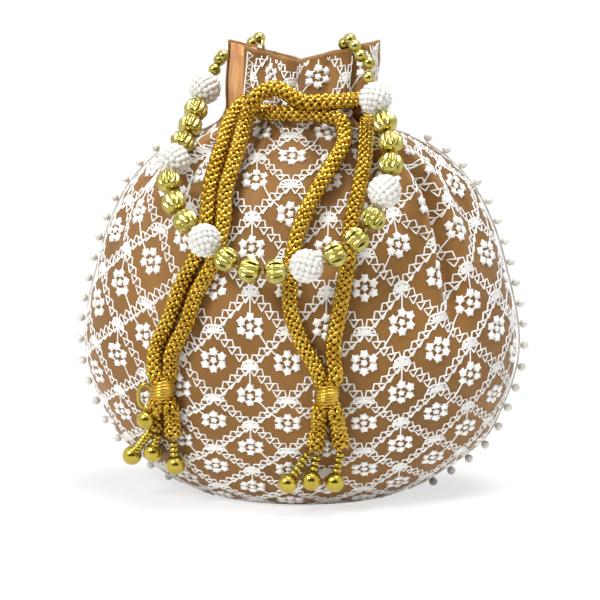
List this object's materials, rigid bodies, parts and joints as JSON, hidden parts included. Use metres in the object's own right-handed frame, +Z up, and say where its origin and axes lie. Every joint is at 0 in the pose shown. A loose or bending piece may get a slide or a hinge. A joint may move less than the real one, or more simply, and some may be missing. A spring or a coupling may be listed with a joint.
{
  "type": "potli bag",
  "caption": "Gathered drawstring pouch in trellis-embroidered silk with a satin lining, braided draw cords ending in bead tassels, pearl-edged seams and a beaded wrist handle.",
  "frame": {"origin": "middle of the flat base that the bag stands on", "axes": "+Z up, the front with the handle and the tassels faces -Y, +X to the right seen from the front"},
  "size_m": [0.2126, 0.1345, 0.214],
  "materials": {
    "embroidered_silk": "soft sheen with raised white thread",
    "satin": "satin",
    "gold_braid": "metallic braid",
    "gold_bead": "metallised gloss",
    "pearl": "pearl",
    "thread": "matte"
  },
  "bodies": {
    "bag": {"front_panel": "embroidered_silk", "back_panel": "embroidered_silk", "satin_lining": "satin", "pearl_edging_left": "pearl", "pearl_edging_right": "pearl", "draw_cord_left": "gold_braid", "draw_cord_right": "gold_braid", "knot_left": "gold_braid", "knot_right": "gold_braid", "cord_tail_left_long": "gold_braid", "cord_tail_left_short": "gold_braid", "cord_tail_right_long": "gold_braid", "cord_tail_right_short": "gold_braid", "tassel_left_1": "gold_bead", "tassel_left_2": "gold_bead", "tassel_left_3": "gold_bead", "tassel_right_1": "gold_bead", "tassel_right_2": "gold_bead", "tassel_right_3": "gold_bead", "tassel_loop_charm": "gold_bead", "handle_anchor_left": "gold_bead", "handle_anchor_right": "gold_bead"},
    "handle": {"handle_thread": "thread", "handle_pearl_ball_01": "pearl", "handle_pearl_ball_02": "pearl", "handle_pearl_ball_03": "pearl", "handle_pearl_ball_04": "pearl", "handle_pearl_ball_05": "pearl", "handle_pearl_ball_06": "pearl", "handle_gold_bead_01": "gold_bead", "handle_gold_bead_02": "gold_bead", "handle_gold_bead_03": "gold_bead", "handle_gold_bead_04": "gold_bead", "handle_gold_bead_05": "gold_bead", "handle_gold_bead_06": "gold_bead", "handle_gold_bead_07": "gold_bead", "handle_gold_bead_08": "gold_bead", "handle_gold_bead_09": "gold_bead", "handle_gold_bead_10": "gold_bead", "handle_gold_bead_11": "gold_bead", "handle_gold_bead_12": "gold_bead", "handle_gold_bead_13": "gold_bead", "handle_gold_bead_14": "gold_bead", "handle_gold_bead_15": "gold_bead", "handle_small_bead_01": "gold_bead", "handle_small_bead_02": "gold_bead"}
  },
  "joints": [
    {"name": "handle_swing", "type": "hinge", "parent": "bag", "child": "handle", "pos_m": [-0.0372, 0.0112, 0.203], "axis": [-0.9187, 0.394, 0.0262], "range_deg": [0, 140]}
  ]
}
